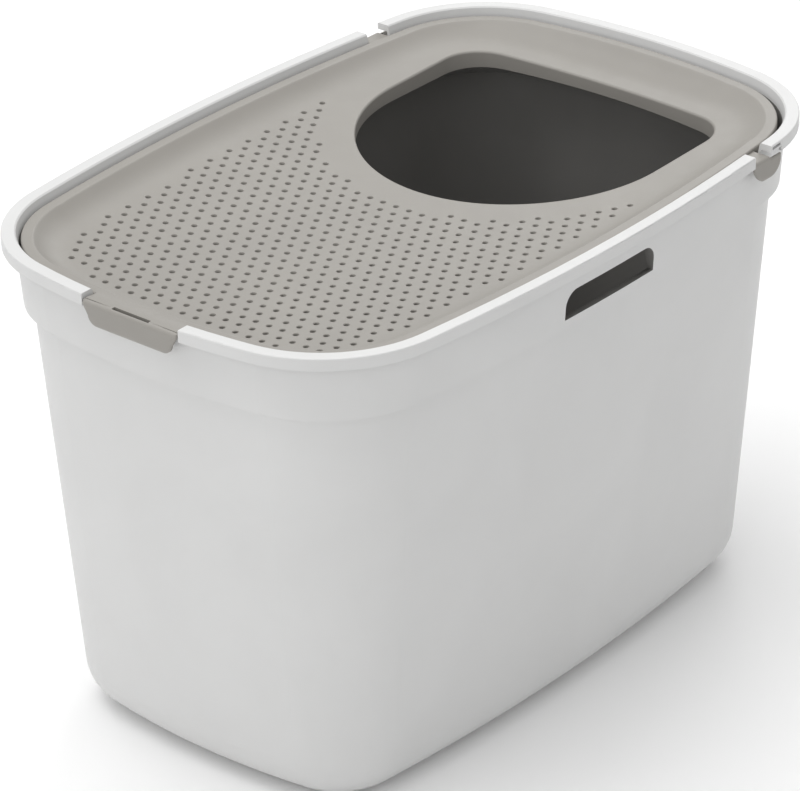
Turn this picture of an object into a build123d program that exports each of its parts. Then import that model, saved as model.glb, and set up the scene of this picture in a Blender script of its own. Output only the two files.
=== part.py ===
"""Top-entry cat litter box with a recessed hinged lid and a front latch flap.

Units are millimetres. +X runs along the length, towards the end with the entry opening.
+Y runs across the width and +Z points up. The origin is the middle of the base, on the floor.
"""

import math
import os

from build123d import *

# ---- overall size and plan outline -------------------------------------------------
length = 590.0
width = 390.0
height = 380.0
side_bow_radius = 1750.0
end_bow_radius = 630.0
corner_radius = 101.0

# ---- tub -----------------------------------------------------------------------------
wall = 2.5
floor = 3.0
draft = 0.0746
base_round = 35.0
band_height = 53.5
band_step = 6.7
band_inset = 13.0
lip_drop = 9.0
lip_wall = 2.5
rim_plate = 3.0
rim_width = 10.5
rim_edge_round = 1.0
closing_rib = 2.5

# ---- hand slots, one in each long side ------------------------------------------------
slot_middle = -3.0
slot_length = 100.0
slot_height = 21.5
slot_bottom_drop = 46.5
slot_corner = 12.0
slot_collar_depth = 7.0

# ---- lid ------------------------------------------------------------------------------
lid_wall = 2.5
lid_drop = 5.0
lid_inset = 15.0
lid_shift = -1.7
flange_width = 8.0
skirt_height = 9.0
cove_slope = 0.42
cove_steep_slope = 1.6
cove_steep_run = 5.0
dish_drop = 22.3
dish_cross_radius = 2300.0
facet_steps = (2.25, 5.25, 8.25, 11.25)
tip_rows = 21.3
tip_angle = 1.0

# ---- entry opening in the lid ----------------------------------------------------------
entry_end_gap = 168.5
entry_front = 120.6
entry_side_gap = 72.5
entry_back_gap = 64.7
entry_corner = 34.7
collar_bottom_drop = 28.0

# ---- litter-return holes ---------------------------------------------------------------
hole_diameter = 4.4
hole_pitch = 12.0
hole_end_gap = 53.44
hole_edge_gap = 48.45
hole_last_gap = 55.5
ring_end_gap = 155.0
ring_reach = 161.3
ring_side_gap = 45.5

# ---- front latch -----------------------------------------------------------------------
latch_half_width = 43.0
latch_clearance = 1.0
latch_top_drop = 3.0
latch_wall = 2.5
fold_radius = 3.5
fold_gap = 0.25
flap_bottom_drop = 20.8
flap_corner = 8.0
flap_taper = 4.5
hook_reach = 4.0
fold_slot_length = 33.4
fold_slot_width = 3.0
catch_length = 60.0
catch_height = 2.0
catch_gap = 2.0
seat_gap = 0.3

# ---- hinge ears ------------------------------------------------------------------------
pivot_end_gap = 112.0
pivot_drop = 6.0
ear_top_drop = 7.4
ear_wall = 2.5
ear_clearance = 0.6
notch_length = 22.5
notch_past_pivot = 0.5
tongue_right = 13.0
tongue_radius = 20.6
tongue_bottom_drop = 24.4
tongue_corner = 12.5
bar_length = 14.5
bar_drop = 5.2
window_edge = 1.5
window_depth = 2.0

# ---- derived values ---------------------------------------------------------------------
lip_bottom = height - lip_drop
band_bottom = height - band_height
slot_bottom = height - slot_bottom_drop
wall_top_inset = band_inset + band_step
base_inset = wall_top_inset + draft * band_bottom
rim_top_inset = band_inset - draft * (height - band_bottom)
lid_top = height - lid_drop
skirt_bottom = lid_top - skirt_height
dish_bottom = height - dish_drop
cove_inset = lid_inset + flange_width
cove_depth = lid_top - dish_bottom + 2.0
entry_middle = length / 2 - entry_end_gap
entry_half_width = width / 2 - entry_side_gap
row_pitch = hole_pitch * math.sqrt(3) / 2
hole_first_x = hole_end_gap - length / 2
row_count = int((entry_middle - hole_last_gap - hole_first_x) / row_pitch) + 1
tip_x = hole_first_x + tip_rows * row_pitch
facet_flat = facet_steps[0] * hole_pitch
pivot_x = length / 2 - pivot_end_gap
pivot_z = height - pivot_drop
notch_end = pivot_x + notch_past_pivot
notch_start = notch_end - notch_length
bar_end = notch_end + bar_length
ear_top = height - ear_top_drop
latch_top = height - latch_top_drop
latch_notch = latch_half_width + latch_clearance
flap_face = -length / 2
fold_x = flap_face + fold_radius
fold_z = latch_top - fold_radius
flap_bottom = height - flap_bottom_drop
hook_top = flap_bottom + latch_wall
past = 20.0


def corner_centre():
    """Centre of the +X, +Y corner arc, tangent inside both the side arc and the end arc."""
    side_y = width / 2 - side_bow_radius
    end_x = length / 2 - end_bow_radius
    from_side = side_bow_radius - corner_radius
    from_end = end_bow_radius - corner_radius
    apart = math.hypot(end_x, side_y)
    along = (apart**2 + from_side**2 - from_end**2) / (2 * apart)
    across = math.sqrt(from_side**2 - along**2)
    unit_x = end_x / apart
    unit_y = -side_y / apart
    centre_x = along * unit_x + across * unit_y
    centre_y = side_y + along * unit_y - across * unit_x
    return centre_x, centre_y


def side_reach(x, inset=0.0):
    """Half-width of the plan outline moved in by an inset, at a place along the length."""
    centre_x, centre_y = corner_centre()
    side_y = width / 2 - side_bow_radius
    side_r = side_bow_radius - inset
    tangent_x = side_r * centre_x / math.hypot(centre_x, centre_y - side_y)
    if abs(x) <= tangent_x:
        return side_y + math.sqrt(side_r**2 - x**2)
    return centre_y + math.sqrt((corner_radius - inset) ** 2 - (abs(x) - centre_x) ** 2)


def edge_distance(x, y):
    """How far inside the plan outline a point lies."""
    centre_x, centre_y = corner_centre()
    side_y = width / 2 - side_bow_radius
    end_x = length / 2 - end_bow_radius
    from_side = side_bow_radius - math.hypot(x, abs(y) - side_y)
    from_end = end_bow_radius - math.hypot(abs(x) - end_x, y)
    from_corner = from_side
    if abs(x) > centre_x and abs(y) > centre_y:
        from_corner = corner_radius - math.hypot(abs(x) - centre_x, abs(y) - centre_y)
    return min(from_side, from_end, from_corner)


def plan(inset):
    """The plan outline moved in by an inset, as a face on the XY plane."""
    side_y = width / 2 - side_bow_radius
    end_x = length / 2 - end_bow_radius
    centre_x, centre_y = corner_centre()
    side_angle = math.atan2(centre_y - side_y, centre_x)
    end_angle = math.atan2(centre_y, centre_x - end_x)
    middle_angle = (side_angle + end_angle) / 2
    side_r = side_bow_radius - inset
    end_r = end_bow_radius - inset
    corner_r = corner_radius - inset
    on_side = (side_r * math.cos(side_angle), side_y + side_r * math.sin(side_angle))
    on_end = (end_x + end_r * math.cos(end_angle), end_r * math.sin(end_angle))
    on_corner = (
        centre_x + corner_r * math.cos(middle_angle),
        centre_y + corner_r * math.sin(middle_angle),
    )
    far_x = length / 2 - inset
    far_y = width / 2 - inset
    with BuildSketch() as flat:
        with BuildLine():
            for sx in (1, -1):
                ThreePointArc(
                    (sx * on_end[0], -on_end[1]), (sx * far_x, 0), (sx * on_end[0], on_end[1])
                )
            for sy in (1, -1):
                ThreePointArc(
                    (on_side[0], sy * on_side[1]), (0, sy * far_y), (-on_side[0], sy * on_side[1])
                )
            for sx in (1, -1):
                for sy in (1, -1):
                    ThreePointArc(
                        (sx * on_end[0], sy * on_end[1]),
                        (sx * on_corner[0], sy * on_corner[1]),
                        (sx * on_side[0], sy * on_side[1]),
                    )
        make_face()
    return flat.sketch


def tapered(low_z, low_inset, high_z, high_inset, shift=0.0):
    """A solid with straight sloping sides between two plan outlines."""
    with BuildPart() as block:
        with BuildSketch(Plane.XY.offset(low_z)):
            add(plan(low_inset))
        with BuildSketch(Plane.XY.offset(high_z)):
            add(plan(high_inset))
        loft(ruled=True)
    return block.part.moved(Location((shift, 0, 0)))


def wall_inset(z):
    """Outer face of the main wall: its inset at a height."""
    return base_inset - draft * z


def band_face_inset(z):
    """Outer face of the wider band under the rim: its inset at a height."""
    return band_inset - draft * (z - band_bottom)


# ---- the room inside the tub ---------------------------------------------------------------
shelf = band_bottom + floor
with BuildPart() as tub_room:
    add(tapered(floor, wall_inset(floor) + wall, shelf, wall_inset(shelf) + wall))
    fillet(tub_room.edges().group_by(Axis.Z)[0], base_round - wall)
    add(tapered(shelf, band_face_inset(shelf) + wall, lip_bottom, band_face_inset(lip_bottom) + wall))
    rim_edge = height - rim_edge_round
    add(tapered(lip_bottom, band_face_inset(lip_bottom) + wall, rim_edge, rim_width))
    add(tapered(rim_edge, rim_width, height, rim_width - rim_edge_round))

with BuildPart() as slot_cutter:
    with BuildSketch(Plane.XZ) as slot_face:
        with Locations((slot_middle, slot_bottom + slot_height / 2)):
            Rectangle(slot_length, slot_height)
        fillet(slot_face.vertices().group_by(Axis.Y)[-1], slot_corner)
    extrude(amount=width, both=True)

with BuildPart() as slot_collar:
    with BuildSketch(Plane.XZ) as collar_face:
        with Locations((slot_middle, slot_bottom + (slot_height + wall) / 2)):
            Rectangle(slot_length + 2 * wall, slot_height + wall)
        fillet(collar_face.vertices().group_by(Axis.Y)[-1], slot_corner + wall)
    extrude(amount=width, both=True)
    band_middle_inset = band_face_inset(slot_bottom + slot_height / 2)
    with BuildSketch(Plane.XY.offset(slot_bottom - wall)):
        add(plan(band_middle_inset + wall / 2))
        add(plan(band_middle_inset + slot_collar_depth), mode=Mode.SUBTRACT)
    extrude(amount=slot_height + 3 * wall, mode=Mode.INTERSECT)

# ---- tub ---------------------------------------------------------------------------------------
with BuildPart() as tub:
    add(tapered(0, base_inset, band_bottom, wall_top_inset))
    fillet(tub.edges().group_by(Axis.Z)[0], base_round)
    add(tapered(band_bottom, band_inset, height, rim_top_inset))
    with BuildSketch(Plane.XY.offset(height - rim_plate)):
        add(plan(0))
    extrude(amount=rim_plate)
    with BuildSketch(Plane.XY.offset(lip_bottom)):
        add(plan(0))
        add(plan(lip_wall), mode=Mode.SUBTRACT)
    extrude(amount=lip_drop)
    fillet(tub.edges().group_by(Axis.Z)[-1], rim_edge_round)
    add(tub_room.part, mode=Mode.SUBTRACT)

    # ribs that close the hollow under the rim beside each notch, cut flush by the notches below
    for side in (1, -1):
        for low_x, high_x, low_z in (
            (notch_start - closing_rib, notch_start + 1, lip_bottom),
            (notch_end - 1, bar_end, height - bar_drop),
        ):
            with BuildSketch(Plane.XY.offset(low_z)):
                add(plan(lip_wall / 2))
                add(plan(rim_width - wall / 2), mode=Mode.SUBTRACT)
                with Locations(((low_x + high_x) / 2, side * width / 2)):
                    Rectangle(high_x - low_x, width / 3, mode=Mode.INTERSECT)
            extrude(amount=height - rim_plate / 2 - low_z)
        with BuildSketch(Plane.XY.offset(lip_bottom)):
            add(plan(lip_wall / 2))
            add(plan(rim_width - wall / 2), mode=Mode.SUBTRACT)
            with Locations((-length / 2, side * (latch_notch + closing_rib / 2 - 0.5))):
                Rectangle(length / 6, closing_rib + 1, mode=Mode.INTERSECT)
        extrude(amount=lip_drop - rim_plate / 2)

    # rim notches for the ears, then the thin bars that hold the ears down, each with a window
    notch_floor = ear_top - ear_wall - seat_gap
    under_bar_y = side_reach(notch_end, rim_width) + lip_wall
    for side in (1, -1):
        outward = Align.MIN if side > 0 else Align.MAX
        with Locations((notch_end, side * width / 2, notch_floor)):
            Box(
                notch_length,
                width / 4,
                height,
                align=(Align.MAX, Align.CENTER, Align.MIN),
                mode=Mode.SUBTRACT,
            )
        with Locations((notch_end, side * under_bar_y, lip_bottom - 1)):
            Box(
                bar_length,
                width / 4,
                lip_drop - bar_drop + 1,
                align=(Align.MIN, outward, Align.MIN),
                mode=Mode.SUBTRACT,
            )
        window_y = side_reach(bar_end, window_depth)
        with Locations((notch_end + window_edge, side * window_y, height - bar_drop / 2)):
            Box(
                bar_length - 2 * window_edge,
                width / 4,
                bar_drop - 2 * window_edge,
                align=(Align.MIN, outward, Align.CENTER),
                mode=Mode.SUBTRACT,
            )
    sill_top = latch_top - lid_wall - seat_gap
    with Locations((-length / 2, 0, sill_top)):
        Box(
            length / 10,
            2 * latch_notch,
            height,
            align=(Align.CENTER, Align.CENTER, Align.MIN),
            mode=Mode.SUBTRACT,
        )
    with Locations((-length / 2, 0, lip_bottom)):
        Box(
            4 * lip_wall,
            2 * latch_notch,
            height,
            align=(Align.CENTER, Align.CENTER, Align.MIN),
            mode=Mode.SUBTRACT,
        )
    # catch rib that the latch hook passes over as it flexes
    catch_top = hook_top + catch_gap + catch_height
    with BuildSketch(Plane.XY.offset(catch_top - catch_height)):
        add(plan(latch_wall + hook_reach + seat_gap))
        add(plan(band_face_inset(catch_top) + wall / 2), mode=Mode.SUBTRACT)
        with Locations((-length / 2, 0)):
            Rectangle(length / 6, catch_length, mode=Mode.INTERSECT)
    extrude(amount=catch_height)
    add(slot_collar.part)
    add(slot_cutter.part, mode=Mode.SUBTRACT)

# ---- the hollow above the lid's dished surface -------------------------------------------------
def dish(thickness):
    """Space above the dish, or with a thickness the same space dropped by that wall.

    A cove in two slopes runs all round, and a shallow trough makes the floor.

    The trough's facets meet between the columns of holes, and its rear part tips up.
    """
    floor_z = dish_bottom - thickness
    above = height + lid_drop
    points = [(width / 2, above), (-width / 2, above)]
    facet_edges = [step * hole_pitch for step in facet_steps]
    mirrored = [-y for y in reversed(facet_edges)]
    for y in (-width / 2, *mirrored, *facet_edges, width / 2):
        y_inner = max(abs(y), facet_flat)
        points.append((y, floor_z + (y_inner**2 - facet_flat**2) / 2 / dish_cross_radius))
    with BuildPart() as space:
        with BuildSketch(Plane.YZ):
            with BuildLine():
                Polyline(*points, close=True)
            make_face()
        extrude(amount=length, both=True)
        tipped = space.part.rotate(Axis((tip_x, 0, floor_z), (0, 1, 0)), -tip_angle)
        add(tipped, mode=Mode.INTERSECT)
        for slope, low_side in ((cove_steep_slope, 0.0), (cove_slope, cove_steep_run)):
            drop = thickness * math.sqrt(1 + slope**2)
            high_drop = low_side * cove_steep_slope
            cove = tapered(
                lid_top - high_drop - cove_depth - drop,
                cove_inset + low_side + cove_depth / slope,
                lid_top - high_drop + cove_depth - drop,
                cove_inset + low_side - cove_depth / slope,
                lid_shift,
            )
            add(cove, mode=Mode.INTERSECT)
    return space.part


def entry_outline(grow):
    """The entry opening: half an ellipse in front and a bowed edge with round corners behind."""
    with BuildSketch() as flat:
        with Locations((entry_middle, 0)):
            Ellipse(entry_front + grow, entry_half_width + grow)
            Rectangle(
                length,
                length,
                align=(Align.MIN, Align.CENTER),
                mode=Mode.SUBTRACT,
            )
            Rectangle(
                length / 2 - entry_middle,
                2 * (entry_half_width + grow),
                align=(Align.MIN, Align.CENTER),
            )
        with Locations((length / 2 - end_bow_radius, 0)):
            Circle(end_bow_radius - entry_back_gap + grow, mode=Mode.INTERSECT)
        fillet(flat.vertices().group_by(Axis.X)[-1], entry_corner + grow)
    return flat.sketch


def hole_centres():
    """Staggered grid of small holes in front of and beside the entry opening."""
    centres = []
    columns = int(width / 2 / hole_pitch)
    for row in range(row_count):
        x = hole_first_x + row * row_pitch
        ahead = min(x - length / 2 + ring_end_gap, 0) / ring_reach
        for column in range(-columns, columns + 1):
            y = (column + row % 2 / 2) * hole_pitch
            across = y / (width / 2 - ring_side_gap)
            clear_of_entry = math.hypot(ahead, across) >= 1
            if clear_of_entry and edge_distance(x - lid_shift, y) >= hole_edge_gap:
                centres.append((x, y))
    return centres


# ---- lid -------------------------------------------------------------------------------------------
plate_low = lid_top - lid_wall
with BuildPart() as dish_body:
    add(dish(lid_wall))
    with BuildSketch(Plane.XY.offset(plate_low + lid_wall / 2)):
        Rectangle(2 * length, 2 * length)
    extrude(amount=2 * height, mode=Mode.SUBTRACT)

with BuildPart() as lid:
    with BuildSketch(Plane.XY.offset(plate_low)):
        with Locations((lid_shift, 0)):
            add(plan(lid_inset))
    extrude(amount=lid_wall)
    with BuildSketch(Plane.XY.offset(skirt_bottom)):
        with Locations((lid_shift, 0)):
            add(plan(lid_inset))
            add(plan(lid_inset + lid_wall), mode=Mode.SUBTRACT)
    extrude(amount=skirt_height - lid_wall / 2)
    add(dish_body.part)
    with BuildSketch(Plane.XY.offset(height - collar_bottom_drop)):
        add(entry_outline(lid_wall))
    extrude(amount=collar_bottom_drop - lid_drop - lid_wall)
    add(dish(0), mode=Mode.SUBTRACT)

    # entry opening, then the small holes
    with BuildSketch(Plane.XY.offset(height - collar_bottom_drop - past)):
        add(entry_outline(0))
    extrude(amount=height, mode=Mode.SUBTRACT)
    with BuildSketch(Plane.XY.offset(dish_bottom - past)):
        with Locations(*hole_centres()):
            Circle(hole_diameter / 2)
    extrude(amount=2 * past, mode=Mode.SUBTRACT)

    # front tongue that carries the fold of the latch
    tongue_start = -length / 2 + lid_inset - lid_shift
    with BuildSketch(Plane.XZ) as front_tongue:
        with BuildLine():
            Polyline(
                (tongue_start + lid_wall, plate_low),
                (tongue_start + lid_wall, lid_top),
                (tongue_start - lid_wall / 2, latch_top),
                (fold_x + fold_radius + fold_gap, latch_top),
                (fold_x + fold_radius + fold_gap, latch_top - lid_wall),
                (tongue_start - lid_wall / 2, latch_top - lid_wall),
                (tongue_start, plate_low),
                close=True,
            )
        make_face()
    extrude(amount=latch_half_width - latch_clearance / 2, both=True)

    # hinge ears: a plate through the rim notch and a rounded tongue outside the rim
    tongue_face_y = side_reach(pivot_x)
    ear_root_y = side_reach(pivot_x, lid_inset) - lid_wall / 2
    for side in (1, -1):
        with Locations((notch_start + ear_clearance, side * tongue_face_y, ear_top)):
            Box(
                pivot_x - notch_start - 2 * ear_clearance,
                tongue_face_y - ear_root_y,
                ear_wall,
                align=(Align.MIN, Align.MAX if side > 0 else Align.MIN, Align.MAX),
            )
        with BuildSketch(Plane.XZ.offset(-side * tongue_face_y)) as tongue_face:
            with Locations((pivot_x + tongue_right, ear_top)):
                Rectangle(
                    tongue_radius + tongue_right,
                    ear_top - height + tongue_bottom_drop,
                    align=(Align.MAX, Align.MAX),
                )
            fillet(tongue_face.vertices().group_by(Axis.Y)[0], tongue_corner)
            with Locations((pivot_x, pivot_z)):
                Circle(tongue_radius, mode=Mode.INTERSECT)
        extrude(amount=side * ear_wall)

# ---- latch ---------------------------------------------------------------------------------------
with BuildPart() as latch:
    with BuildSketch(Plane.YZ.offset(flap_face)) as flap_shape:
        with BuildLine():
            Polyline(
                (-latch_half_width, fold_z),
                (-latch_half_width + flap_taper, flap_bottom),
                (latch_half_width - flap_taper, flap_bottom),
                (latch_half_width, fold_z),
                close=True,
            )
        make_face()
        fillet(flap_shape.vertices().group_by(Axis.Y)[0], flap_corner)
    extrude(amount=latch_wall)
    with Locations((flap_face, 0, flap_bottom)):
        Box(
            latch_wall + hook_reach,
            2 * (latch_half_width - flap_taper - flap_corner),
            latch_wall,
            align=(Align.MIN, Align.CENTER, Align.MIN),
        )
    with Locations((fold_x, 0, fold_z)):
        Cylinder(fold_radius, 2 * latch_half_width, rotation=(90, 0, 0))
    with Locations((fold_x, 0, fold_z)):
        Box(fold_slot_width, fold_slot_length, 3 * fold_radius, mode=Mode.SUBTRACT)

os.makedirs("parts", exist_ok=True)
for name, piece in (("tub", tub), ("lid", lid), ("latch", latch)):
    piece.part.label = name
    export_step(piece.part, "parts/" + name + ".step")
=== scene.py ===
# %% [markdown]
# # A top-entry litter box with a hinged, perforated lid
# This lesson dresses a finished CAD model for a studio picture. The model arrives as three
# fixed parts: the pale tub, the taupe lid and its small front latch. Blender adds what CAD
# leaves plain: smooth crowned surfaces, soft edges, and moulded-plastic finishes.

# %% Load the fixed frame
import math

import bpy
import numpy as np
from mathutils import Matrix, Vector
from mathutils.geometry import delaunay_2d_cdt


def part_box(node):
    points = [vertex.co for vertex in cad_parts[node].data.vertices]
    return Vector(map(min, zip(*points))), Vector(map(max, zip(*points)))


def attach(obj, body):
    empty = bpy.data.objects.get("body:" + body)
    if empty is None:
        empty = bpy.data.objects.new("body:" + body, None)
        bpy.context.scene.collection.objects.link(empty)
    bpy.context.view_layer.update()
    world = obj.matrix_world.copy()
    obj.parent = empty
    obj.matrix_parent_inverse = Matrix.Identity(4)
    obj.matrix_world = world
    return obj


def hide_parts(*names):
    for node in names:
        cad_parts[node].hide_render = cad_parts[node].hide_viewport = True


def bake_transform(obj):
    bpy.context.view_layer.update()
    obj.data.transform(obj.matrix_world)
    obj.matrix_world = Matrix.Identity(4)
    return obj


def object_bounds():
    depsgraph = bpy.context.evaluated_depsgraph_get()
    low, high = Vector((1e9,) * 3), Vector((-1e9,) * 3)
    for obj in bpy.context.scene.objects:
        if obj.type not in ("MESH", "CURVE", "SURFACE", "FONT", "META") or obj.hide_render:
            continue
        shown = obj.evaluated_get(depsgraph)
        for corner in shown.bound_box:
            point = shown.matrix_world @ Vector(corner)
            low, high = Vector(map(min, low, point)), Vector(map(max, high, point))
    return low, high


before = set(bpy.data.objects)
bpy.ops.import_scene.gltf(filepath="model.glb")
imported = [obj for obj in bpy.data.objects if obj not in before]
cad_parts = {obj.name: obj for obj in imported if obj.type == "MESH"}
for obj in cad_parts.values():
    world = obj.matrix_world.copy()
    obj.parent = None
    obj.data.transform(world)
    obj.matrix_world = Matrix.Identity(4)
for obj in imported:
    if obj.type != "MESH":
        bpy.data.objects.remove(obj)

scene = bpy.context.scene
cad_low, cad_high = [list(corner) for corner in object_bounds()]
length = cad_high[0] - cad_low[0]
width = cad_high[1] - cad_low[1]
height = cad_high[2] - cad_low[2]
print("overall size in metres:", round(length, 3), round(width, 3), round(height, 3))

# %% [markdown]
# ## The camera
# A long lens far away keeps the box's long edges nearly parallel, as in a catalogue picture.
# The camera is placed by two angles and a distance from the middle of the box. A slight roll
# settles the horizon.

# %% Camera
AZIMUTH = math.radians(-49.55)
ELEVATION = math.radians(28.07)
ROLL = math.radians(-1.113)
DISTANCE = 3.1416
AIM_SIDEWAYS = -0.01037
AIM_UP = 0.00319
LENS_MM = 192.3


def camera_axes(azimuth, elevation, roll):
    """Right, up and backward unit vectors: back points from the box to the camera, and the
    other two are turned about it by the roll."""
    back = Vector((
        math.sin(azimuth) * math.cos(elevation),
        -math.cos(azimuth) * math.cos(elevation),
        math.sin(elevation),
    ))
    level = (-back).cross(Vector((0, 0, 1))).normalized()
    rise = level.cross(-back)
    right = math.cos(roll) * level + math.sin(roll) * rise
    up = math.cos(roll) * rise - math.sin(roll) * level
    return level, rise, right, up, back


level, rise, right, up, back = camera_axes(AZIMUTH, ELEVATION, ROLL)
camera_data = bpy.data.cameras.new("studio_camera")
camera_data.lens = LENS_MM
camera_data.clip_end = 50
camera = bpy.data.objects.new("studio_camera", camera_data)
scene.collection.objects.link(camera)
aim = Vector((0, 0, height / 2)) + level * AIM_SIDEWAYS + rise * AIM_UP
camera.rotation_mode = "QUATERNION"
camera.rotation_quaternion = Matrix((right, up, back)).transposed().to_quaternion()
camera.location = aim + back * DISTANCE
scene.camera = camera
print("camera at", [round(v, 3) for v in camera.location])

# %% [markdown]
# ## Floor and light
# Product pictures are lit by large soft sources. A bright even surround fills every side,
# one wide panel hangs above, and another stands at the latch end, so that the short end
# reads lighter than the long side. A third, behind the entry end, keeps the floor white.

# %% Floor, surround and panels
scene.view_settings.view_transform = "Standard"
FLOOR_REACH = 6.0
FLOOR_Z = -0.0005


def shader_material(name):
    """A new node material and its Principled shader."""
    material = bpy.data.materials.new(name)
    material.use_nodes = True
    return material, material.node_tree.nodes["Principled BSDF"]


floor_mesh = bpy.data.meshes.new("studio_floor")
floor_mesh.from_pydata(
    [(-FLOOR_REACH, -FLOOR_REACH, FLOOR_Z), (FLOOR_REACH, -FLOOR_REACH, FLOOR_Z),
     (FLOOR_REACH, FLOOR_REACH, FLOOR_Z), (-FLOOR_REACH, FLOOR_REACH, FLOOR_Z)],
    [], [(0, 1, 2, 3)],
)
studio_floor = bpy.data.objects.new("studio_floor", floor_mesh)
scene.collection.objects.link(studio_floor)
floor_material, floor_shader = shader_material("pale_floor")
floor_shader.inputs["Base Color"].default_value = (0.98, 0.98, 0.98, 1)
floor_shader.inputs["Roughness"].default_value = 0.9
floor_shader.inputs["Specular IOR Level"].default_value = 0.1
floor_mesh.materials.append(floor_material)

world = bpy.data.worlds.new("studio_surround")
world.use_nodes = True
world.node_tree.nodes["Background"].inputs["Color"].default_value = (1, 1, 1, 1)
world.node_tree.nodes["Background"].inputs["Strength"].default_value = 0.62
scene.world = world


def light_panel(name, place, target, size, power):
    """A square area light of a size in metres and a power in watts, turned to face a
    target."""
    data = bpy.data.lights.new(name, "AREA")
    data.shape = "SQUARE"
    data.size = size
    data.energy = power
    panel = bpy.data.objects.new(name, data)
    panel.location = place
    aim_way = Vector(target) - Vector(place)
    panel.rotation_mode = "QUATERNION"
    panel.rotation_quaternion = aim_way.to_track_quat("-Z", "Y")
    scene.collection.objects.link(panel)
    return panel


light_panel("top_panel", (-0.3, 0.5, 2.4), (0, 0, 0.2), 2.2, 34)
light_panel("end_panel", (-2.4, -0.5, 1.3), (0, 0, 0.2), 1.6, 8)
light_panel("far_panel", (2.3, 1.0, 1.7), (0.8, -0.5, 0), 1.4, 14)

# %% [markdown]
# ## Moulded plastic
# Both colours are injection-moulded polypropylene. It has a fine even grain from the tool,
# faint flow clouds in the colour, and a soft broad shine. An image could carry all that, but
# noise worked out from the object's own coordinates has no seams and needs no unwrapping.
# The tub's inside gets a darker copy of the plastic than its outside. This is painted shade for
# the deep shade it is seen in; the real tub is one colour throughout.

# %% Plastic finishes
def plastic(name, pale, deep, roughness, grain):
    """Moulded plastic: flow clouds mix two near shades, a finer noise varies the shine, and
    a very fine noise lifts the tool grain as bump."""
    material, shader = shader_material(name)
    nodes, links = material.node_tree.nodes, material.node_tree.links
    place = nodes.new("ShaderNodeTexCoord")
    clouds = nodes.new("ShaderNodeTexNoise")
    clouds.inputs["Scale"].default_value = 9.0
    clouds.inputs["Detail"].default_value = 5.0
    clouds.inputs["Distortion"].default_value = 0.6
    shades = nodes.new("ShaderNodeValToRGB")
    shades.color_ramp.elements[0].position = 0.3
    shades.color_ramp.elements[0].color = (*deep, 1)
    shades.color_ramp.elements[1].position = 0.7
    shades.color_ramp.elements[1].color = (*pale, 1)
    sheen_noise = nodes.new("ShaderNodeTexNoise")
    sheen_noise.inputs["Scale"].default_value = 60.0
    sheen_noise.inputs["Detail"].default_value = 3.0
    sheen_range = nodes.new("ShaderNodeMapRange")
    sheen_range.inputs["To Min"].default_value = roughness - 0.06
    sheen_range.inputs["To Max"].default_value = roughness + 0.08
    fine = nodes.new("ShaderNodeTexNoise")
    fine.inputs["Scale"].default_value = 1400.0
    fine.inputs["Detail"].default_value = 2.0
    bump = nodes.new("ShaderNodeBump")
    bump.inputs["Strength"].default_value = grain
    bump.inputs["Distance"].default_value = 0.0002
    for texture in (clouds, sheen_noise, fine):
        links.new(place.outputs["Object"], texture.inputs["Vector"])
    links.new(clouds.outputs["Fac"], shades.inputs["Fac"])
    links.new(shades.outputs["Color"], shader.inputs["Base Color"])
    links.new(sheen_noise.outputs["Fac"], sheen_range.inputs["Value"])
    links.new(sheen_range.outputs["Result"], shader.inputs["Roughness"])
    links.new(fine.outputs["Fac"], bump.inputs["Height"])
    links.new(bump.outputs["Normal"], shader.inputs["Normal"])
    shader.inputs["IOR"].default_value = 1.49
    return material


tub_plastic = plastic("tub_plastic", (0.66, 0.66, 0.655), (0.63, 0.63, 0.625), 0.45, 0.25)
# painted shade: a darker copy of the tub plastic, given to the tub's inner faces
tub_inside_painted_shade = plastic("tub_inside_painted_shade", (0.23, 0.224, 0.214), (0.21, 0.204, 0.194), 0.6, 0.25)
lid_plastic = plastic("lid_plastic", (0.308, 0.293, 0.268), (0.288, 0.274, 0.252), 0.48, 0.35)
print("finishes:", tub_plastic.name, tub_inside_painted_shade.name, lid_plastic.name)

# %% [markdown]
# ## The outline that everything follows
# The rim, the lid and the skirt are all the same rounded rectangle, moved inwards by
# different amounts. Its sides and ends are long bows and its corners are tight arcs, each
# tangent to the next. One function measures how far inside the outline a point lies, and
# another walks along the outline, so every later piece can follow it. Drawing the loop by
# hand would be quicker once, but a formula gives every inset at no cost.

# %% Outline
MM = 0.001
SIDE_BOW = 1750 * MM
END_BOW = 630 * MM
CORNER = 101 * MM
SIDE_Y = width / 2 - SIDE_BOW
END_X = length / 2 - END_BOW


def corner_centre():
    """Where the corner arc's centre lies: as far from each bow's centre as that bow's radius
    less the corner's, so it is where two circles cross."""
    from_side, from_end = SIDE_BOW - CORNER, END_BOW - CORNER
    apart = math.hypot(END_X, SIDE_Y)
    along = (apart**2 + from_side**2 - from_end**2) / (2 * apart)
    across = math.sqrt(from_side**2 - along**2)
    unit = np.array([END_X, -SIDE_Y]) / apart
    return np.array([0, SIDE_Y]) + along * unit + across * np.array([unit[1], -unit[0]])


CORNER_X, CORNER_Y = corner_centre()


def edge_distance(x, y):
    """How far points lie inside the outline: the least of their distances from the side bow,
    the end bow and, beyond its centre, the corner arc."""
    x, y = np.abs(x), np.abs(y)
    from_side = SIDE_BOW - np.hypot(x, y - SIDE_Y)
    from_end = END_BOW - np.hypot(x - END_X, y)
    from_corner = CORNER - np.hypot(x - CORNER_X, y - CORNER_Y)
    in_corner = (x > CORNER_X) & (y > CORNER_Y)
    from_corner = np.where(in_corner, from_corner, from_side)
    return np.minimum(np.minimum(from_side, from_end), from_corner)


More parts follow.
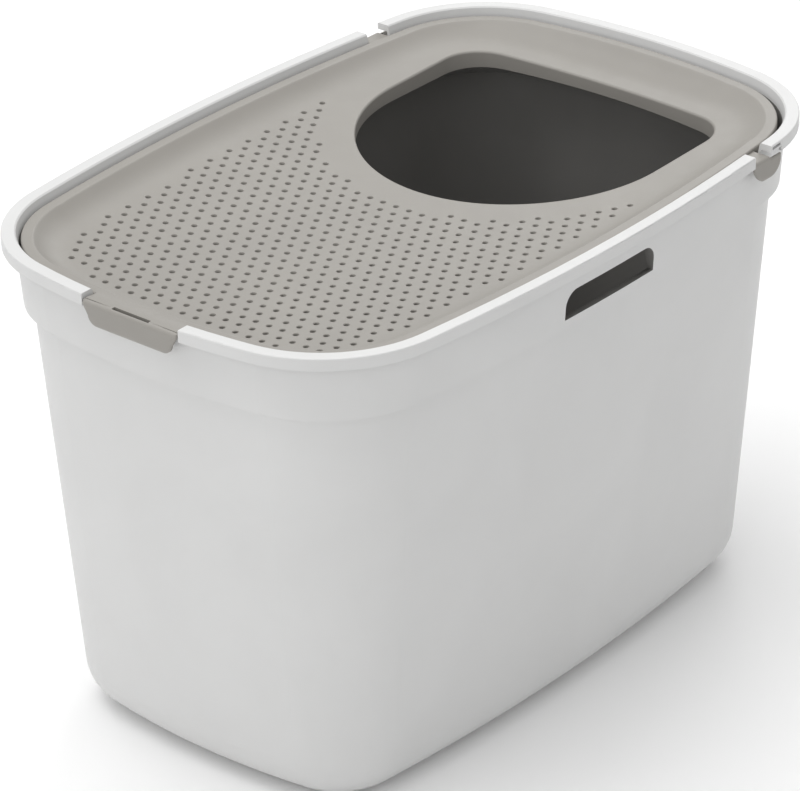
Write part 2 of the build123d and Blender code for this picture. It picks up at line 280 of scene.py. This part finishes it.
def outline(inset, steps=24, shift=0.0):
    """Points round the outline moved in by an inset and shifted along the length. In one
    quarter the end bow, the corner arc and half the side bow are circles drawn between
    their tangent angles. The other quarters are its mirror images, walked in turn."""
    side_turn = math.atan2(CORNER_Y - SIDE_Y, CORNER_X)
    end_turn = math.atan2(CORNER_Y, CORNER_X - END_X)
    bow = np.linspace(0, end_turn, steps, endpoint=False)
    arc = np.linspace(end_turn, side_turn, steps, endpoint=False)
    side = np.linspace(side_turn, math.pi / 2, steps + 1)
    quarter = np.concatenate([
        np.c_[END_X + (END_BOW - inset) * np.cos(bow), (END_BOW - inset) * np.sin(bow)],
        np.c_[CORNER_X + (CORNER - inset) * np.cos(arc),
              CORNER_Y + (CORNER - inset) * np.sin(arc)],
        np.c_[(SIDE_BOW - inset) * np.cos(side), SIDE_Y + (SIDE_BOW - inset) * np.sin(side)],
    ])
    back = quarter[::-1]
    turns = [quarter[:-1], (back * (-1, 1))[:-1], (-quarter)[:-1], (back * (1, -1))[:-1]]
    return np.concatenate(turns) + (shift, 0)


print("corner centre", round(CORNER_X, 4), round(CORNER_Y, 4), "loop", outline(0).shape)

# %% [markdown]
# ## Two ways to make a skin
# A moulded part is one skin of even thickness. A flat sheet full of holes is easiest as a
# plan of triangles lifted to its heights, then doubled to give it an underside. A skirt or
# a collar is easier as a profile carried round a loop. Solidify and Curve objects could do
# much the same, but arrays keep every height exact. Both ways give a closed mesh whose
# faces point outwards.

# %% Mesh helpers
SMOOTH_BELOW = math.radians(38)


def add_mesh(name, points, faces, finish):
    """A mesh object from whole arrays, smooth except where faces meet at a sharp angle."""
    mesh = bpy.data.meshes.new(name)
    mesh.from_pydata(points.tolist(), [], faces.tolist())
    mesh.update()
    mesh.polygons.foreach_set("use_smooth", np.ones(len(mesh.polygons), bool))
    mesh.set_sharp_from_angle(angle=SMOOTH_BELOW)
    mesh.materials.append(finish)
    piece = bpy.data.objects.new(name, mesh)
    scene.collection.objects.link(piece)
    print(name, "has", len(points), "points and", len(faces), "faces")
    return piece


def carry_round(path, outward, steps, heights):
    """A closed profile carried round a loop. A grid point is the loop's point plus the
    outward direction times the profile's step, at the height given for that place on the
    loop. Faces join neighbours both ways round."""
    heights = np.broadcast_to(heights, (len(path), len(steps)))
    ring = path[:, None, :] + outward[:, None, :] * np.asarray(steps)[None, :, None]
    points = np.concatenate([ring, heights[..., None]], 2).reshape(-1, 3)
    stations, around = len(path), len(steps)
    i = np.arange(stations)[:, None]
    j = np.arange(around)[None, :]
    a, b = i * around, (i + 1) % stations * around
    k = (j + 1) % around
    faces = np.stack(np.broadcast_arrays(a + j, b + j, b + k, a + k), 2).reshape(-1, 4)
    return points, faces


def arc(centre, radius, start, stop, count):
    """Points on a circle between two angles in degrees."""
    angle = np.radians(np.linspace(start, stop, count))
    return np.c_[centre[0] + radius * np.cos(angle), centre[1] + radius * np.sin(angle)]


def path_normals(path):
    """Outward unit normals of a closed loop walked anticlockwise: each is the direction
    from the point before to the point after, turned clockwise by a quarter."""
    way = np.roll(path, -1, 0) - np.roll(path, 1, 0)
    way /= np.linalg.norm(way, axis=1)[:, None]
    return np.c_[way[:, 1], -way[:, 0]]


def thick_sheet(triangles, top, bottom):
    """Top and bottom copies of a plan of triangles, joined by walls wherever an edge belongs
    to one triangle only. Such an edge is one whose reverse is in no other triangle."""
    count = len(top)
    points = np.concatenate([top, bottom])
    ways = np.concatenate([triangles[:, [0, 1]], triangles[:, [1, 2]], triangles[:, [2, 0]]])
    codes = ways[:, 0] * count + ways[:, 1]
    lone = ways[~np.isin(codes, ways[:, 1] * count + ways[:, 0])]
    walls = np.c_[lone[:, 0], lone[:, 0] + count, lone[:, 1] + count]
    more = np.c_[lone[:, 0], lone[:, 1] + count, lone[:, 1]]
    faces = np.concatenate([triangles, triangles[:, ::-1] + count, walls, more])
    return points, faces


print("flat faces meet smoothly below", round(math.degrees(SMOOTH_BELOW)), "degrees")

# %% [markdown]
# ## The lid's plate
# The plate is a shallow dish with a flat flange round it. The drop from flange to dish is
# steep at the flange and eases out, like the side of a tray. Hundreds of small holes let
# litter fall back. The flange runs forwards as a short tab to the latch. First come its
# sizes, the loop of the entry opening, and one formula for the height anywhere on it. A
# formula suits it better than sculpting, since the same one places the collar later.

# %% Lid sizes
lid_high = np.array(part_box("lid")[1])
latch_low, latch_high = [np.array(c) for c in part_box("latch")]
WALL = 2.5 * MM
TUCK = 0.9 * WALL
LID_TOP = height - 5 * MM
LID_INSET = 15 * MM
LID_SHIFT = -1.7 * MM
EDGE_ROUND = 1.3 * MM
FLANGE = 8 * MM
COVE_RUN = 27 * MM
COVE_EASE = 0.04
COVE_POWER = 2.6
DISH_DROP = 22.06 * MM
DISH_LONG = 250 * MM
DISH_WIDE = 180 * MM
RAMP_END = 19 * MM - length / 2
RAMP_LENGTH = 10 * MM
RAMP_SIDE = 4 * MM
TAB_HALF = latch_high[1] - 0.5 * MM
FOLD_RADIUS = 3.5 * MM
FOLD_X = latch_low[0] + FOLD_RADIUS
TAB_TOP = latch_high[2]
SLOT_HALF = 16.7 * MM
SLOT_REACH = 1.6 * MM
MOUTH_X = length / 2 - 168.5 * MM
MOUTH_FRONT = 120.6 * MM
MOUTH_HALF = width / 2 - 72.5 * MM
MOUTH_BOW = END_BOW - 64.7 * MM
MOUTH_CORNER = 34.7 * MM
LIP_ROUND = 2.0 * MM
print("lid flange at", round(LID_TOP, 4), "and fold at", round(FOLD_X, 4))

# %% Entry loop and lid height
def mouth(grow, steps=72):
    """The entry opening's loop, walked anticlockwise and grown by a margin: half an ellipse
    in front, a bowed edge behind, and arcs where the straight sides meet it."""
    bow, corner = MOUTH_BOW + grow, MOUTH_CORNER + grow
    half = MOUTH_HALF + grow
    centre_y = half - corner
    centre_x = END_X + math.sqrt((bow - corner) ** 2 - centre_y**2)
    meet = math.atan2(centre_y, centre_x - END_X)
    rear = np.linspace(-meet, meet, steps // 2, endpoint=False)
    turn = np.linspace(meet, math.pi / 2, steps // 4, endpoint=False)
    front = np.linspace(math.pi / 2, 1.5 * math.pi, steps * 2)
    straight = np.linspace(centre_x, MOUTH_X, steps // 6, endpoint=False)
    upper = np.c_[centre_x + corner * np.cos(turn), centre_y + corner * np.sin(turn)]
    side = np.c_[straight, np.full(len(straight), half)]
    ellipse = np.c_[MOUTH_X + (MOUTH_FRONT + grow) * np.cos(front), half * np.sin(front)]
    flip = np.array([1, -1])
    return np.concatenate([
        np.c_[END_X + bow * np.cos(rear), bow * np.sin(rear)],
        upper, side, ellipse[:-1], (side * flip)[::-1], (upper * flip)[:0:-1],
    ])


def ease(t):
    """A smooth step from 0 to 1 with level ends."""
    t = np.clip(t, 0, 1)
    return t * t * (3 - 2 * t)


def lid_surface(x, y):
    """Height of the plate's top. The dish is a shallow bowl: a low polynomial that rises a
    little towards the back and more at both sides. Across the cove, t runs from 0 at the
    flange to 1, and the height falls from flange to dish by the share one less (one less t)
    to a power, with t squared over t and a little in place of t, to round its start. The
    tab rises smoothly to the fold."""
    u, v = x / DISH_LONG, y / DISH_WIDE
    bowl = (2.25 * u + 2.81 * u**2 + 9.52 * v**2 - 2.39 * v**4) * MM
    dish = height - DISH_DROP + bowl
    inside = edge_distance(x - LID_SHIFT, y) - LID_INSET
    t = np.clip((inside - FLANGE) / COVE_RUN, 0, 1)
    down = 1 - (1 - t**2 / (t + COVE_EASE)) ** COVE_POWER
    tab = ease((RAMP_END - x) / RAMP_LENGTH) * ease((TAB_HALF + RAMP_SIDE - np.abs(y)) / RAMP_SIDE)
    return LID_TOP + (dish - LID_TOP) * down + tab * (TAB_TOP - LID_TOP)


print("opening reaches", mouth(0).min(0).round(4), "to", mouth(0).max(0).round(4))

# %% [markdown]
# ## The litter-return holes
# The small holes stand in staggered rows, like a honeycomb. They stop at an even distance
# from the lid's edge and leave a clear ring round the entry. Two tests on a whole grid of
# places give the same pattern as the mould's, with no list of positions.

# %% Where the small holes are
HOLE_RADIUS = 2.05 * MM
MOUTH_ROUND = 0.4 * MM
MOUTH_DEPTH = 0.5 * MM
PITCH = 12 * MM
ROW = PITCH * math.sqrt(3) / 2
FIRST_ROW = 53.44 * MM - length / 2
ROWS = 31
HALF_COLUMNS = 16
EDGE_GAP = 48.45 * MM
RING_X = length / 2 - 155 * MM
RING_REACH = 161.3 * MM
RING_SIDE = width / 2 - 45.5 * MM

columns = np.arange(-HALF_COLUMNS, HALF_COLUMNS + 1)
row, column = np.meshgrid(np.arange(ROWS), columns, indexing="ij")
hole_x = FIRST_ROW + row * ROW
hole_y = (column + row % 2 / 2) * PITCH
ahead = np.minimum(hole_x - RING_X, 0) / RING_REACH
outside_ring = np.hypot(ahead, hole_y / RING_SIDE) >= 1
kept = outside_ring & (edge_distance(hole_x - LID_SHIFT, hole_y) >= EDGE_GAP)
holes = np.c_[hole_x[kept], hole_y[kept]]
print("holes:", len(holes))

# %% [markdown]
# ## Cutting a plan into triangles
# A grid can't follow hundreds of round holes, and cutting them with Boolean modifiers is
# slow and leaves ragged faces. A constrained triangulation takes points and edges and
# returns triangles that keep every edge. Extra loose points are put where the surface
# curves, and triangles that fall in an opening are dropped by their middles.

# %% Plan helpers
KEEP_ALL = 0
SAME_PLACE = 1e-8


def inside_loop(points, loop):
    """Whether points lie in a closed loop: a ray to one side crosses it an odd number of
    times."""
    x, y = points[:, :1], points[:, 1:]
    ax, ay = loop[:, 0], loop[:, 1]
    bx, by = np.roll(ax, -1), np.roll(ay, -1)
    spans = (ay > y) != (by > y)
    cross = ax + (y - ay) * (bx - ax) / np.where(by == ay, 1.0, by - ay)
    return ((x < cross) & spans).sum(1) % 2 == 1


def loop_gap(points, loop):
    """Distance from points to a closed loop: the least distance to any of its segments,
    each measured to the nearest place between its ends."""
    start, way = loop, np.roll(loop, -1, 0) - loop
    offset = points[:, None, :] - start[None]
    share = (offset * way).sum(2) / (way**2).sum(1)
    near = offset - np.clip(share, 0, 1)[..., None] * way
    return np.hypot(near[..., 0], near[..., 1]).min(1)


def nearest_hole(points):
    """Distance from points to the nearest hole's centre, worked out block by block."""
    blocks = np.array_split(points, 1 + len(points) // 4000)
    return np.concatenate([
        np.hypot(*(b[:, None, :] - holes[None]).transpose(2, 0, 1)).min(1) for b in blocks
    ])


def cut_plan(loops, loose):
    """Triangles over a plan whose first loop is its outer edge and whose other loops are
    kept as edges too. Triangles outside the outer loop are dropped, and one whose corners
    turn clockwise is reversed. Also gives the triangles' middles."""
    starts = np.cumsum([0] + [len(loop) for loop in loops])
    edges = []
    for begin, loop in zip(starts, loops):
        i = np.arange(len(loop))
        edges.append(np.c_[begin + i, begin + (i + 1) % len(loop)])
    points = np.concatenate([*loops, loose])
    found, _, faces, *_ = delaunay_2d_cdt(
        [Vector(p) for p in points.tolist()],
        np.concatenate(edges).tolist(), [], KEEP_ALL, SAME_PLACE, False,
    )
    plan = np.array([tuple(p) for p in found])
    triangles = np.array(faces)
    a, b, c = plan[triangles].transpose(1, 0, 2)
    turn = (b - a)[:, 0] * (c - a)[:, 1] - (b - a)[:, 1] * (c - a)[:, 0]
    triangles[turn < 0] = triangles[turn < 0][:, ::-1]
    middles = (a + b + c) / 3
    kept = inside_loop(middles, loops[0])
    return plan, triangles[kept], middles[kept]


print("largest hole distance:", round(float(nearest_hole(mouth(0)).max()), 4))

# %% [markdown]
# ## The plate's plan
# The plate's edge is the lid outline, less the rounding that the skirt will add, broken at
# the front by the tab. The tab ends at the fold, with a notch for the slot that lets the
# latch bend. Loose loops follow the cove and the entry, closest together where the cove
# turns.

# %% Plate outline and loose points
HOLE_STEPS = 12
LOOP_STEPS = 28
COVE_LOOPS = (4, 7.3, 8, 8.6, 9.3, 10.2, 11.4, 13, 15, 17.5, 20.5, 24, 28, 33, 39)
ENTRY_LOOPS = (3, 7, 12, 18)
TAB_ROWS = (2.2, 4, 6, 8, 10, 12, 14, 16, 18)
TAB_COLUMNS = 21


def rings(radius):
    """Circles of points of one radius about every hole."""
    angle = np.linspace(0, 2 * math.pi, HOLE_STEPS, endpoint=False)
    circle = radius * np.c_[np.cos(angle), np.sin(angle)]
    return holes[:, None, :] + circle[None]


edge_loop = outline(LID_INSET + EDGE_ROUND, LOOP_STEPS, LID_SHIFT)
on_tab = np.flatnonzero((edge_loop[:, 0] < 0) & (np.abs(edge_loop[:, 1]) < TAB_HALF + 1 * MM))
before, after = edge_loop[: on_tab[0]], edge_loop[on_tab[-1] + 1:]
root_x = LID_SHIFT - length / 2 + LID_INSET + EDGE_ROUND
tab_path = np.array([
    (root_x, TAB_HALF), (FOLD_X, TAB_HALF), (FOLD_X, SLOT_HALF),
    (FOLD_X + SLOT_REACH, SLOT_HALF), (FOLD_X + SLOT_REACH, -SLOT_HALF),
    (FOLD_X, -SLOT_HALF), (FOLD_X, -TAB_HALF), (root_x, -TAB_HALF),
])
plate_loop = np.concatenate([before, tab_path, after])
mouth_loop = mouth(LIP_ROUND)
loose = [rings(HOLE_RADIUS + MOUTH_ROUND).reshape(-1, 2)]
for inset in COVE_LOOPS:
    loose.append(outline(LID_INSET + inset * MM, LOOP_STEPS, LID_SHIFT))
for margin in ENTRY_LOOPS:
    loose.append(mouth(LIP_ROUND + margin * MM))
across = np.linspace(-0.97, 0.97, TAB_COLUMNS) * TAB_HALF
for step in TAB_ROWS:
    loose.append(np.c_[np.full(TAB_COLUMNS, FOLD_X + step * MM), across])
loose = np.concatenate(loose)
usable = inside_loop(loose, plate_loop) & ~inside_loop(loose, mouth(LIP_ROUND + 0.5 * MM))
loose = loose[usable & (nearest_hole(loose) > HOLE_RADIUS + 0.9 * MOUTH_ROUND)]
print("outline points:", len(plate_loop), "and loose points:", len(loose))

# %% Cut the plate and drop what falls in an opening
plan, triangles, middles = cut_plan([plate_loop, mouth_loop, *rings(HOLE_RADIUS)], loose)
hole_flat = 0.995 * HOLE_RADIUS * math.cos(math.pi / HOLE_STEPS)
solid = ~inside_loop(middles, mouth_loop) & (nearest_hole(middles) > hole_flat)
triangles = triangles[solid]
print("plan:", len(plan), "points,", len(triangles), "triangles")

# %% [markdown]
# ## Lifting the plan
# Every point of the plan is raised to the height formula, and the points on a hole's rim sink
# a little, which eases its mouth. The underside is the same plan one wall lower. The
# Solidify modifier would also do, but it would thicken the sunk rims unevenly.

# %% Lift and thicken the plate
top = lid_surface(plan[:, 0], plan[:, 1])
on_rim = nearest_hole(plan) < HOLE_RADIUS + MOUTH_ROUND / 2
upper_points = np.c_[plan, top - MOUTH_DEPTH * on_rim]
lower_points = np.c_[plan, top - WALL]
plate_skin = thick_sheet(triangles, upper_points, lower_points)
lid_plate = add_mesh("lid_plate", *plate_skin, lid_plastic)

# %% [markdown]
# ## The rolled edges of the lid
# Two swept parts finish the plate. A skirt turns down all round its edge, and a collar turns
# down round the entry so that paws meet a rounded lip. Each is a closed profile carried
# round its loop. The skirt's top stays level, while the collar's top follows the dish. A
# bevelled curve could make the skirt, but not a collar of changing height.

# %% Collar
COLLAR_BOTTOM = height - 28 * MM
EDGE_STEPS = 8
collar_path = mouth(0)
collar_out = path_normals(collar_path)
lip_z = lid_surface(*(collar_path + LIP_ROUND * collar_out).T)[:, None]
arc_out, arc_up = arc((0, 0), LIP_ROUND, 90, 180, EDGE_STEPS).T
steps = np.concatenate([[WALL, WALL, LIP_ROUND], LIP_ROUND + arc_out, [0]])
drops = np.concatenate([[-WALL, -TUCK], arc_up - LIP_ROUND])
low = np.full((len(collar_path), 1), COLLAR_BOTTOM)
collar_heights = np.concatenate([low, lip_z + drops, low], 1)
collar_skin = carry_round(collar_path, collar_out, steps, collar_heights)
collar = add_mesh("lid_collar", *collar_skin, lid_plastic)

# %% Skirt
SKIRT_DROP = 9 * MM
skirt_path = outline(LID_INSET, LOOP_STEPS, LID_SHIFT)
arc_out, arc_up = arc((0, 0), EDGE_ROUND, 0, 90, EDGE_STEPS).T
steps = np.concatenate([[0], arc_out - EDGE_ROUND, [-EDGE_ROUND, -WALL, -WALL]])
drops = np.concatenate([[-SKIRT_DROP], arc_up - EDGE_ROUND, [-TUCK, -WALL, -SKIRT_DROP]])
skirt_skin = carry_round(skirt_path, path_normals(skirt_path), steps, LID_TOP + drops)
skirt = add_mesh("lid_skirt", *skirt_skin, lid_plastic)

# %% [markdown]
# ## Bent flaps: the ears and the latch
# Each hinge ear and the latch is a flat shape bent once over the rim. Its plan is drawn flat,
# with one axis along the bend and the other measuring the way over it. The outer face
# then follows a level run, a quarter circle and a drop. The edges are eased, and the
# inner face lies one wall behind. Bending a flat shape keeps its outline true, where
# modelling the bent shape directly would leave the corners to the eye.

# %% Bending a flat shape
GRID_ALONG, GRID_OVER = 40, 28
EASE_SHARES = (0.12, 0.3, 0.6, 1.0)
EASE_FULL = 0.96
LEAST_GAP = 0.05 * MM


def bent_section(s, run, radius):
    """The way over a bend, as how far out, how far down, and the direction the face looks.
    Up to the run it goes level, then round a quarter circle, then straight down."""
    turn = np.clip((s - run) / radius, 0, math.pi / 2)
    past_bend = np.maximum(s - run - radius * math.pi / 2, 0)
    out = np.minimum(s, run) + radius * np.sin(turn)
    down = radius * (1 - np.cos(turn)) + past_bend
    return out, down, np.sin(turn), np.cos(turn)


def bent_flap(name, flat, eased_to, run, radius, wall, ease_width, ease_drop, place):
    """A flat outline bent over a quarter circle. Near the eased outline the outer face sinks
    by one less the root of (one less the nearness squared), a quarter round. place() turns
    along, out and up into room coordinates. Where it mirrors them, the triangles are
    reversed so that their faces still point outwards."""
    inward = -path_normals(flat)
    loose = [flat + inward * share * ease_width for share in EASE_SHARES]
    low, high = flat.min(0), flat.max(0)
    grid = np.meshgrid(
        np.linspace(low[0], high[0], GRID_ALONG), np.linspace(low[1], high[1], GRID_OVER)
    )
    loose.append(np.stack(grid, 2).reshape(-1, 2))
    loose = np.concatenate(loose)
    loose = loose[inside_loop(loose, flat)]
    loose = loose[loop_gap(loose, flat) > LEAST_GAP]
    plan, triangles, _ = cut_plan([flat], loose)
    near = np.clip(1 - loop_gap(plan, eased_to) / ease_width, 0, 1)
    sink = ease_drop * (1 - np.sqrt(1 - EASE_FULL * near**2))
    out, down, face_out, face_up = bent_section(plan[:, 1], run, radius)
    outer = place(plan[:, 0], out - sink * face_out, -down - sink * face_up)
    inner = place(plan[:, 0], out - wall * face_out, -down - wall * face_up)
    mirrored = np.linalg.det(place(*np.eye(3)) - place(*np.zeros((3, 3)))) <= 0
    if mirrored:
        triangles = triangles[:, ::-1]
    return add_mesh(name, *thick_sheet(triangles, outer, inner), lid_plastic)


bend_end = bent_section(FOLD_RADIUS * math.pi / 2, 0.0, FOLD_RADIUS)
print("out and down after the latch's bend:", [round(float(v), 4) for v in bend_end[:2]])

# %% [markdown]
# ## The latch
# The flap starts where the lid's tab ends, turns down over the rim and covers the notch. Its
# lower corners are round and its sides lean in. A small hook inside its foot catches under
# a rib of the tub. The top edge stays sharp, because there the flap goes on into the tab.

# %% Latch flap and hook
FLAP_HALF = latch_high[1]
FLAP_TAPER = 4.5 * MM
FLAP_CORNER = 8 * MM
FLAP_EASE = 3 * MM
FLAP_EASE_DROP = 1.1 * MM
HOOK_REACH = 4 * MM
FLAP_SLOT = 1.5 * MM
WELL_AWAY = 30 * MM
FOLD_WAY = FOLD_RADIUS * math.pi / 2
FLAP_WAY = FOLD_WAY + (TAB_TOP - FOLD_RADIUS - latch_low[2])
low_half = FLAP_HALF - FLAP_TAPER
side_right = np.array([
    *arc((low_half - FLAP_CORNER, FLAP_WAY - FLAP_CORNER), FLAP_CORNER, 90, 8, 12),
    (FLAP_HALF, FOLD_WAY), (FLAP_HALF, 0), (SLOT_HALF, 0), (SLOT_HALF, FLAP_SLOT),
])
flap_flat = np.concatenate([side_right, (side_right * (-1, 1))[::-1]])[::-1]
at_fold = flap_flat[:, 1:] < FLAP_SLOT + LEAST_GAP
eased_to = flap_flat - [[0, WELL_AWAY]] * at_fold
latch_flap = bent_flap(
    "latch_flap", flap_flat, eased_to, 0.0, FOLD_RADIUS, WALL, FLAP_EASE, FLAP_EASE_DROP,
    lambda along, out, up: np.stack([FOLD_X - out, along, TAB_TOP + up], -1),
)
hook_square = np.array([(0, -1), (1, -1), (1, 1), (0, 1)])
hook_plan = hook_square * [HOOK_REACH, low_half - FLAP_CORNER] + [latch_low[0] + TUCK, 0]
hook_faces = np.array([(0, 1, 2), (0, 2, 3)])
hook_top = np.c_[hook_plan, np.full(4, latch_low[2] + WALL)]
hook_skin = thick_sheet(hook_faces, hook_top, hook_top - [0, 0, WALL])
latch_hook = add_mesh("latch_hook", *hook_skin, lid_plastic)

# %% [markdown]
# ## The hinge ears
# Each ear is a narrow plate that leaves the lid through a notch in the rim, bends over it and
# ends in a rounded tongue. The tongue is a box with round lower corners, pulled in to a
# circle about the hinge line, so that it clears the rim as the lid swings.

# %% Ears
PIVOT_X = length / 2 - 112 * MM
PIVOT_Z = height - 6 * MM
EAR_TOP = height - 7.4 * MM
EAR_BEND = 2.0 * MM
EAR_WALL = 1.9 * MM
EAR_EASE = 1.2 * MM
EAR_EASE_DROP = 0.7 * MM
EAR_START = PIVOT_X - 21.4 * MM
EAR_END = PIVOT_X - 0.6 * MM
TONGUE_RADIUS = 20.6 * MM
TONGUE_RIGHT = 13 * MM
TONGUE_CORNER = 12.5 * MM
CORNER_DROP = 5.9 * MM
ear_root = width / 2 - 26.2 * MM
ear_run = lid_high[1] - EAR_BEND - ear_root
ear_bend_way = ear_run + EAR_BEND * math.pi / 2
bend_foot = EAR_TOP - EAR_BEND
low_left = (PIVOT_X - TONGUE_RADIUS + TONGUE_CORNER, PIVOT_Z - CORNER_DROP)
low_right = (PIVOT_X + TONGUE_RIGHT - TONGUE_CORNER, PIVOT_Z - CORNER_DROP)
tongue = np.concatenate([
    [(PIVOT_X - TONGUE_RADIUS, bend_foot)],
    arc(low_left, TONGUE_CORNER, 180, 270, 12), arc(low_right, TONGUE_CORNER, 270, 360, 12),
    [(PIVOT_X + TONGUE_RIGHT, bend_foot)],
])
arm = tongue - (PIVOT_X, PIVOT_Z)
tongue = (PIVOT_X, PIVOT_Z) + arm * np.minimum(1, TONGUE_RADIUS / np.hypot(*arm.T))[:, None]
tongue[:, 1] = ear_bend_way + bend_foot - tongue[:, 1]
ear_flat = np.concatenate([
    tongue[::-1],
    [(EAR_START, ear_bend_way - 0.5 * MM), (EAR_START, 0), (EAR_END, 0), (EAR_END, ear_bend_way)],
])[::-1]
ears = [
    bent_flap(
        name, ear_flat, ear_flat, ear_run, EAR_BEND, EAR_WALL, EAR_EASE, EAR_EASE_DROP,
        lambda along, out, up, side=side: np.stack(
            [along, side * (ear_root + out), EAR_TOP + up], -1
        ),
    )
    for name, side in (("ear_near", -1), ("ear_far", 1))
]

# %% [markdown]
# ## Where each piece belongs
# The new lid pieces take the CAD lid's place and swing with its body. The flap and its hook
# take the CAD latch's place: the hook goes with the latch's body, while the flap's mesh is
# baked where it stands. The real latch is joined to the lid by a thin fold that bends.

# %% Bodies and slots
for piece in (lid_plate, collar, skirt, *ears):
    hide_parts("lid")
    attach(piece, "lid_body")
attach(latch_hook, "latch_body")
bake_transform(latch_flap)
for piece in (latch_flap, latch_hook):
    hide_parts("latch")
for node in ("lid", "latch"):
    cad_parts[node].data.materials.clear()
    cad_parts[node].data.materials.append(lid_plastic)

# %% [markdown]
# ## The tub's finish and its painted inner shade
# The tub's mesh stays as it came. A face belongs to the inside if it looks towards the middle
# of the tub and lies below the rim, or if it looks up from well below the rim. Whole-array
# tests sort the faces, and a second material slot holds painted shade: a darker copy of the
# plastic that stands in for the shade inside the tub.

# %% Outside and painted-shade inside of the tub
BELOW_RIM = 12 * MM
WELL_BELOW_RIM = 40 * MM
LOOKS_IN = -0.02
UPRIGHT = 0.5
LOOKS_UP = 0.3
tub_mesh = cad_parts["tub"].data
tub_mesh.materials.clear()
tub_mesh.materials.append(tub_plastic)
tub_mesh.materials.append(tub_inside_painted_shade)
face_count = len(tub_mesh.polygons)
centres, ways = np.empty(face_count * 3), np.empty(face_count * 3)
tub_mesh.polygons.foreach_get("center", centres)
tub_mesh.polygons.foreach_get("normal", ways)
centres, ways = centres.reshape(-1, 3), ways.reshape(-1, 3)
outwards = (centres[:, :2] * ways[:, :2] / np.array([length, width]) ** 2).sum(1)
facing_in = (outwards < LOOKS_IN) & (np.hypot(*ways[:, :2].T) > UPRIGHT)
facing_in &= centres[:, 2] < height - BELOW_RIM
facing_up = (ways[:, 2] > LOOKS_UP) & (centres[:, 2] < height - WELL_BELOW_RIM)
# faces picked here take material slot 1, the painted shade
inner = (facing_in | facing_up).astype(np.int32)
tub_mesh.polygons.foreach_set("material_index", inner)
print("inner faces of the tub:", int(inner.sum()), "of", face_count)
